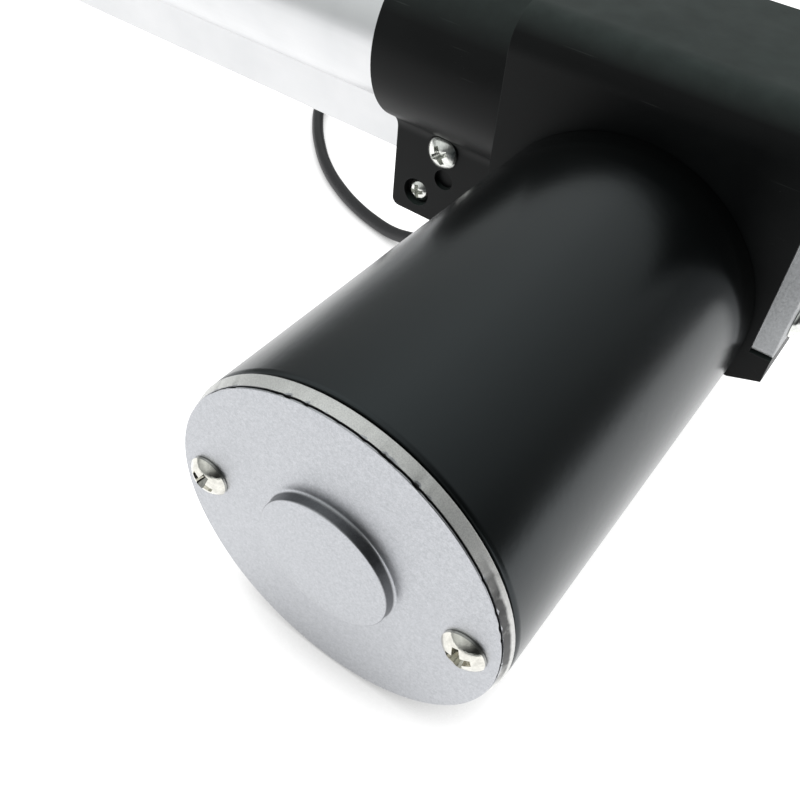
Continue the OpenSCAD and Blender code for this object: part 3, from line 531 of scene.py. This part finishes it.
def plated_look(name, colour, roughness):
    """Bright plated steel with tiny dings and an uneven tone."""
    look = Look(name)
    ding = look.noise(0.9, detail=3)
    fine = look.noise(0.12, detail=3)
    look.set(
        Base_Color=look.tint(look.spread(ding, 0.3, 0.7, 0, 1), grey(colour, 0.82), grey(colour, 1.08)),
        Metallic=1.0,
        Roughness=look.spread(fine, 0.3, 0.7, roughness * 0.75, roughness * 1.3),
        Normal=look.bump(ding, 0.03),
    )
    return look


def make_looks():
    """One look for every material slot of the record."""
    made = {
        "housing_nylon": nylon_look(),
        "motor_paint": can_look(),
        "die_cast": cast_cap_look(),
        "tube_aluminium": tube_look(),
        "zinc_screws": plated_look("zinc_screws", (0.74, 0.75, 0.72), 0.16),
        "nickel_screws": plated_look("nickel_screws", (0.66, 0.65, 0.6), 0.07),
        "cast_zinc": finish_look(
            "cast_zinc", (0.42, 0.43, 0.44), 0.5, metallic=0.75, grain_mm=0.5, change=0.25,
            depth_mm=0.05, wear=0.9, wear_colour=(0.8, 0.8, 0.8),
        ),
        "bronze": finish_look("bronze", (0.68, 0.47, 0.2), 0.35, metallic=1.0, grain_mm=0.25),
        "cap_plastic": finish_look(
            "cap_plastic", (0.014, 0.0145, 0.016), 0.46, grain_mm=0.25, wear=0.4,
            wear_colour=(0.06, 0.06, 0.06),
        ),
        "white_plastic": finish_look("white_plastic", (0.78, 0.76, 0.7), 0.45, grain_mm=0.3, change=0.05),
        "black_rubber": finish_look("black_rubber", (0.017, 0.017, 0.019), 0.5, grain_mm=0.3, depth_mm=0.015),
        "bearing_steel": finish_look("bearing_steel", (0.66, 0.67, 0.69), 0.22, metallic=1.0, change=0.06),
        "ferrite": finish_look("ferrite", (0.05, 0.05, 0.054), 0.7, grain_mm=0.3, change=0.2),
        "phenolic": finish_look("phenolic", (0.16, 0.085, 0.035), 0.55, grain_mm=0.6, change=0.2),
        "carbon": finish_look("carbon", (0.03, 0.028, 0.026), 0.6, metallic=0.2, grain_mm=0.2, change=0.3),
        "spring_steel": finish_look("spring_steel", (0.55, 0.56, 0.58), 0.3, metallic=1.0, grain_mm=0.2),
        "board": finish_look("board", (0.012, 0.11, 0.04), 0.3, grain_mm=0.7, change=0.2, coat=0.4),
        "black_plastic": finish_look("black_plastic", (0.016, 0.016, 0.018), 0.42, grain_mm=0.25),
        "ground_steel": finish_look(
            "ground_steel", (0.62, 0.63, 0.65), 0.2, metallic=1.0, grain_mm=0.15, change=0.08,
        ),
        "lamination_steel": finish_look(
            "lamination_steel", (0.3, 0.31, 0.33), 0.45, metallic=0.9, grain_mm=0.35,
            stretch=(1, 14, 1), change=0.35, depth_mm=0.06,
        ),
        "copper": finish_look(
            "copper", (0.72, 0.28, 0.12), 0.32, metallic=1.0, grain_mm=0.4, stretch=(3, 1, 3), change=0.3,
            depth_mm=0.06,
        ),
        "acetal": finish_look("acetal", (0.78, 0.74, 0.6), 0.42, grain_mm=0.3, change=0.05),
        "rod_steel": finish_look(
            "rod_steel", (0.74, 0.75, 0.77), 0.14, metallic=1.0, grain_mm=0.25, stretch=(0.03, 1, 1),
            change=0.05, depth_mm=0.004,
        ),
    }
    return {slot: look.material for slot, look in made.items()}


looks = make_looks()


def dress_nodes():
    """Every CAD node wears its slot's look, and the cable wears its own."""
    for part in frame["record"]["subparts"]:
        mesh = nodes[part["node"]].data
        mesh.materials.clear()
        mesh.materials.append(looks[part["material_slot"]])
    cable.data.materials.append(looks["black_rubber"])


dress_nodes()


# ---------- CAD nodes that keep their shape ----------

def ease_edges(node, width_mm, segments=2):
    """Gives a CAD node the small radii of a moulded or cast piece, and smooth shading between them."""
    piece = nodes[node]
    mesh = piece.data
    if "custom_normal" in mesh.attributes:
        mesh.attributes.remove(mesh.attributes["custom_normal"])
    mesh.shade_smooth()
    weld = piece.modifiers.new("weld", "WELD")
    weld.merge_threshold = 0.0005 * MM
    flat = piece.modifiers.new("flat", "DECIMATE")
    flat.decimate_type = "DISSOLVE"
    flat.angle_limit = math.radians(0.5)
    bevel = piece.modifiers.new("bevel", "BEVEL")
    bevel.width = width_mm * MM
    bevel.segments = segments
    bevel.limit_method = "ANGLE"
    bevel.angle_limit = math.radians(32)
    bevel.use_clamp_overlap = True
    bevel.harden_normals = True
    weight = piece.modifiers.new("weight", "WEIGHTED_NORMAL")
    weight.keep_sharp = True
    weight.weight = 50


edge_radii_mm = {
    "gearbox_front_half": 0.3, "gearbox_back_half": 0.3, "rear_clevis": 0.35, "outer_tube": 0.15,
    "tube_end_cap": 0.3, "rod_end": 0.4, "inner_rod": 0.2, "rear_bush": 0.15,
}
for eased, edge_radius in edge_radii_mm.items():
    ease_edges(eased, edge_radius)


# ---------- motor ----------

def along_motor(mesh, centre_x, centre_z):
    """Stands a piece turned around Z on the motor's side: its Z becomes +Y."""
    mesh.transform(Matrix.Translation((centre_x, 0, centre_z)) @ Matrix.Rotation(-math.pi / 2, 4, "X"))


def make_can():
    """The motor's rolled steel can, with its outer edge rounded in towards the end cap."""
    lo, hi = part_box("motor_can")
    radius = (hi.x - lo.x) / 2 / MM
    foot, end = lo.y / MM, hi.y / MM
    wall = 2.0
    roll = 0.9
    chamfer = 0.3
    profile = [(foot, radius - wall), (foot, radius - chamfer), (foot + chamfer, radius)]
    profile += [(foot + (end - roll - foot) * i / 8, radius) for i in range(1, 9)]
    profile += arc((end - roll, radius - roll), roll, 90, 8, 8)[1:]
    profile += [(end, radius - wall)]
    mesh = lathe("motor_can_shell", profile, 192)
    smooth_but_for(mesh, 50)
    along_motor(mesh, (lo.x + hi.x) / 2, (lo.z + hi.z) / 2)
    return show("motor_can_shell", mesh, "motor_can", "motor_paint")


def make_cap():
    """The die-cast end cap: a conical band, a groove with a worn edge, the flat face and its bearing boss."""
    lo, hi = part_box("motor_end_cap")
    radius = (hi.x - lo.x) / 2 / MM
    top, back = hi.y / MM, lo.y / MM
    face = top - boss_h
    # the cap's spigot reaches this far back into the can, and the seam is where the can ends
    spigot = 5
    seam = back + spigot
    spigot_r = radius - 2.05
    fillet, ease = 0.55, 0.28
    seat_r, seat_y = 11.04, face - 1.2
    room_in, room_out = 13.2, 27.5
    gap, gap_floor = 0.55, radius - 1.5
    lip_r, lip_ease = radius - 0.2, 0.18
    edge_r = 0.17
    nick_size, nick_from, nick_share, nick_most = 16, 0.12, 0.4, 0.25

    def worn(along, out, angle):
        if not face - groove_back - 0.02 < along < face - 0.1:
            return along, out
        at = Vector((math.cos(angle), math.sin(angle), along / 40)) * nick_size
        nick = max(noise.fractal(at, 1.0, 2.0, 4) - nick_from, 0)
        return along, out - min(nick_share * nick, nick_most)

    profile = [(seat_y, 0), (seat_y, seat_r), (back, seat_r), (back, room_in)]
    profile += [(seam - 0.01, room_in), (seam - 0.01, room_out), (back, room_out), (back, spigot_r)]
    profile += [(seam, spigot_r), (seam, gap_floor), (seam + gap - 0.05, gap_floor), (seam + gap, lip_r)]
    profile += arc((seam + gap + lip_ease, lip_r), lip_ease, 180, 70, 4)[1:]
    profile += [(face - groove_back, radius - band_in), (face - groove_back + 0.03, radius - groove_in)]
    profile += [(face - groove_front - 0.04, radius - groove_in), (face - groove_front, radius - 0.78)]
    profile += arc((face - edge_r, radius - face_in), edge_r, 70, 0, 4)
    profile += [(face, radius - face_in - step) for step in (1, 3, 6, 10, 14)]
    profile += [(face, boss_r + fillet + 0.5)]
    profile += arc((face + fillet, boss_r + fillet), fillet, 180, 270, 6)
    profile += arc((top - ease, boss_r - ease), ease, 90, 0, 5)
    profile += [(top, 9.0), (top, 5.0), (top, 0)]
    mesh = lathe("motor_cap", profile, 360, worn)
    smooth_but_for(mesh, 40)
    along_motor(mesh, (lo.x + hi.x) / 2, (lo.z + hi.z) / 2)
    return show("motor_cap", mesh, "motor_end_cap", "die_cast")


# ---------- screws ----------

def cross_tool(radius, height, depth):
    """The cutter for a cross recess: four wings that narrow towards its tip."""
    def outline(reach, half, corner, z):
        points = []
        for quarter in range(4):
            turn = Matrix.Rotation(quarter * math.pi / 2, 3, "Z")
            inner = corner * math.sqrt(0.5)
            for x, y in ((reach, -half), (reach, half), (inner, inner)):
                points.append(turn @ Vector((x, y, z)) * MM)
        return points

    bm = bmesh.new()
    rings = [
        outline(radius * 0.66, radius * 0.17, radius * 0.30, height + 0.5),
        outline(radius * 0.54, radius * 0.14, radius * 0.24, height - depth * 0.35),
        outline(radius * 0.26, radius * 0.08, radius * 0.13, height - depth),
    ]
    loops = [[bm.verts.new(p) for p in ring] for ring in rings]
    for high, low in zip(loops, loops[1:]):
        for i in range(12):
            j = (i + 1) % 12
            bm.faces.new([high[i], low[i], low[j], high[j]])
    bm.faces.new(loops[0])
    bm.faces.new(loops[-1])
    bmesh.ops.recalc_face_normals(bm, faces=bm.faces)
    mesh = bpy.data.meshes.new("cross")
    bm.to_mesh(mesh)
    bm.free()
    return mesh


def screw_mesh(head_r, head_h, shank_r, length, pitch=0.7):
    """A pan-head screw along Z, its head above z = 0: a domed head, a cross recess and a thread."""
    side = head_h * 0.24
    rise = head_h - side
    ball = (head_r ** 2 + rise ** 2) / (2 * rise)
    rim_angle = math.degrees(math.asin(head_r / ball))
    dome = arc((head_h - ball, 0), ball, rim_angle, 0, 12)[1:-1]
    profile = [(-length, 0), (-length, shank_r * 0.6)]
    ridges = int((length - 2) / pitch)
    for i in range(ridges):
        z = -length + 0.6 + i * pitch
        profile += [(z, shank_r * 0.84), (z + pitch * 0.4, shank_r), (z + pitch * 0.55, shank_r)]
    profile += [(-0.5, shank_r), (0, shank_r), (0, head_r - 0.15), (0.12, head_r), (side, head_r)]
    profile += dome + [(head_h, 0)]
    mesh = cut(lathe("screw", profile, 48), cross_tool(head_r, head_h, head_h * 0.95))
    smooth_but_for(mesh, 38)
    return mesh


def placed(mesh, at, way, turn):
    """A copy of a screw with its head at a point, looking along a direction, turned about itself."""
    copy = mesh.copy()
    spin = Matrix.Rotation(math.radians(turn), 4, "Z")
    facing = Vector(way).to_track_quat("Z", "Y").to_matrix().to_4x4()
    copy.transform(Matrix.Translation(at) @ facing @ spin)
    return copy


def joined(name, meshes):
    bm = bmesh.new()
    for mesh in meshes:
        bm.from_mesh(mesh)
    result = bpy.data.meshes.new(name)
    bm.to_mesh(result)
    bm.free()
    return result


def make_screws(node, slot, way, heads, turns):
    """Screws that stand where a CAD node's screws stand. heads gives one head height each, in mm."""
    axis = max(range(3), key=lambda k: abs(way[k]))
    side = [k for k in range(3) if k != axis][0]
    meshes = []
    for (lo, hi), head_h, turn in zip(solids_of(node), heads, turns):
        head_r = (hi[side] - lo[side]) / 2 / MM
        total = (hi[axis] - lo[axis]) / MM
        shank_r = round(head_r * 0.4, 1)
        at = (lo + hi) / 2
        at[axis] = (hi[axis] - head_h * MM) if way[axis] > 0 else (lo[axis] + head_h * MM)
        meshes.append(placed(screw_mesh(head_r, head_h, shank_r, total - head_h), at, way, turn))
    return show(node + "_cross", joined(node + "_cross", meshes), node, slot)


def make_end_cap_screws():
    """The three screws around the tube's end."""
    lo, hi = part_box("end_cap_screws")
    x = (lo.x + hi.x) / 2
    head_h = 1.6
    outer = hi.z - head_h * MM
    head_r, shank_r, length = 2.4, 1.17, 4.4
    mesh = screw_mesh(head_r, head_h, shank_r, length)
    meshes = []
    for angle in (90, 210, 330):
        way = Vector((0, math.cos(math.radians(angle)), math.sin(math.radians(angle))))
        at = way * outer
        at.x = x
        meshes.append(placed(mesh, at, way, angle / 3))
    name = "end_cap_screws_cross"
    return show(name, joined(name, meshes), "end_cap_screws", "zinc_screws")


make_can()
make_cap()
make_screws("motor_through_bolts", "nickel_screws", (0, 1, 0), (2.3, 2.3), (20, 65))
make_screws("tab_screws", "zinc_screws", (0, 1, 0), (2.4, 2.2), (30, 10))
make_screws("clevis_screws", "zinc_screws", (-1, 0, 0), (2.6,) * 4, (15, 50, 75, 35))
make_screws("housing_screws", "zinc_screws", (0, -1, 0), (2.2,) * 5, (12, 40, 64, 81, 27))
make_end_cap_screws()


# ---------- light and floor ----------

def make_floor():
    """A plain pale floor that glows round the object, and less further out and where the object stands."""
    half = 6.0
    drop = 0.02 * MM
    pool_from, pool_to = 0.27, 0.62
    contact_reach = 14 * MM
    mesh = bpy.data.meshes.new("floor")
    corners = [(-half, -half), (half, -half), (half, half), (-half, half)]
    mesh.from_pydata([(x, y, floor_z - drop) for x, y in corners], [], [(0, 1, 2, 3)])
    floor = bpy.data.objects.new("floor", mesh)
    scene.collection.objects.link(floor)
    paint = bpy.data.materials.new("floor")
    paint.use_nodes = True
    shader = paint.node_tree.nodes["Principled BSDF"]
    shader.inputs["Base Color"].default_value = (0.1, 0.1, 0.1, 1)
    shader.inputs["Roughness"].default_value = 0.7
    shader.inputs["Specular IOR Level"].default_value = 0.1
    shader.inputs["Emission Strength"].default_value = 1.4
    tree = paint.node_tree
    place = tree.nodes.new("ShaderNodeTexCoord").outputs["Object"]
    reach = tree.nodes.new("ShaderNodeVectorMath")
    reach.operation = "DISTANCE"
    reach.inputs[1].default_value = (0.09, 0.02, floor_z)
    tree.links.new(place, reach.inputs[0])
    pool = tree.nodes.new("ShaderNodeValToRGB")
    pool.color_ramp.interpolation = "EASE"
    pool.color_ramp.elements[0].position = pool_from
    pool.color_ramp.elements[0].color = (1, 1, 1, 1)
    pool.color_ramp.elements[1].position = pool_to
    pool.color_ramp.elements[1].color = (0.29, 0.3, 0.3, 1)
    tree.links.new(reach.outputs["Value"], pool.inputs[0])
    contact = tree.nodes.new("ShaderNodeAmbientOcclusion")
    contact.samples = 8
    contact.inputs["Distance"].default_value = contact_reach
    tree.links.new(pool.outputs["Color"], contact.inputs["Color"])
    tree.links.new(contact.outputs["Color"], shader.inputs["Emission Color"])
    floor.data.materials.append(paint)


def make_studio():
    """Soft light as a world: a broad glow high up towards -Y, a paler +X side and a soft front light."""
    world = bpy.data.worlds.new("studio")
    scene.world = world
    world.use_nodes = True
    tree = world.node_tree
    way = tree.nodes.new("ShaderNodeTexCoord").outputs["Generated"]

    def facing(direction):
        """How far a way looks along this direction: 1 straight along, 0 square to it, less behind."""
        node = tree.nodes.new("ShaderNodeVectorMath")
        node.operation = "DOT_PRODUCT"
        node.inputs[1].default_value = Vector(direction).normalized()
        tree.links.new(way, node.inputs[0])
        return node.outputs["Value"]

    def ramp(value, stops):
        """A smooth curve through the stops, level beyond the first and the last."""
        node = tree.nodes.new("ShaderNodeFloatCurve")
        points = node.mapping.curves[0].points
        points[0].location = stops[0]
        points[1].location = stops[-1]
        for stop in stops[1:-1]:
            points.new(*stop)
        node.mapping.extend = "HORIZONTAL"
        node.mapping.update()
        tree.links.new(value, node.inputs["Value"])
        return node.outputs["Value"]

    glow = ramp(facing((0.09, -0.49, 0.87)), [(0, 0.03), (0.4, 0.09), (0.65, 0.3), (0.85, 0.5), (1, 0.85)])
    side = ramp(facing((1, 0, 0)), [(0, 0.06), (0.3, 0.2), (1, 0.28)])
    front = ramp(facing((0.45, 0.6, 0.66)), [(0, 0), (0.6, 0.02), (0.85, 0.5), (1, 0.7)])
    total = glow
    for light in (side, front):
        both = tree.nodes.new("ShaderNodeMath")
        tree.links.new(total, both.inputs[0])
        tree.links.new(light, both.inputs[1])
        total = both.outputs[0]
    background = tree.nodes["Background"]
    background.inputs["Color"].default_value = (0.97, 1.0, 0.99, 1)
    tree.links.new(total, background.inputs["Strength"])
    scene.view_settings.view_transform = "Standard"


make_floor()
make_studio()

bpy.context.view_layer.update()
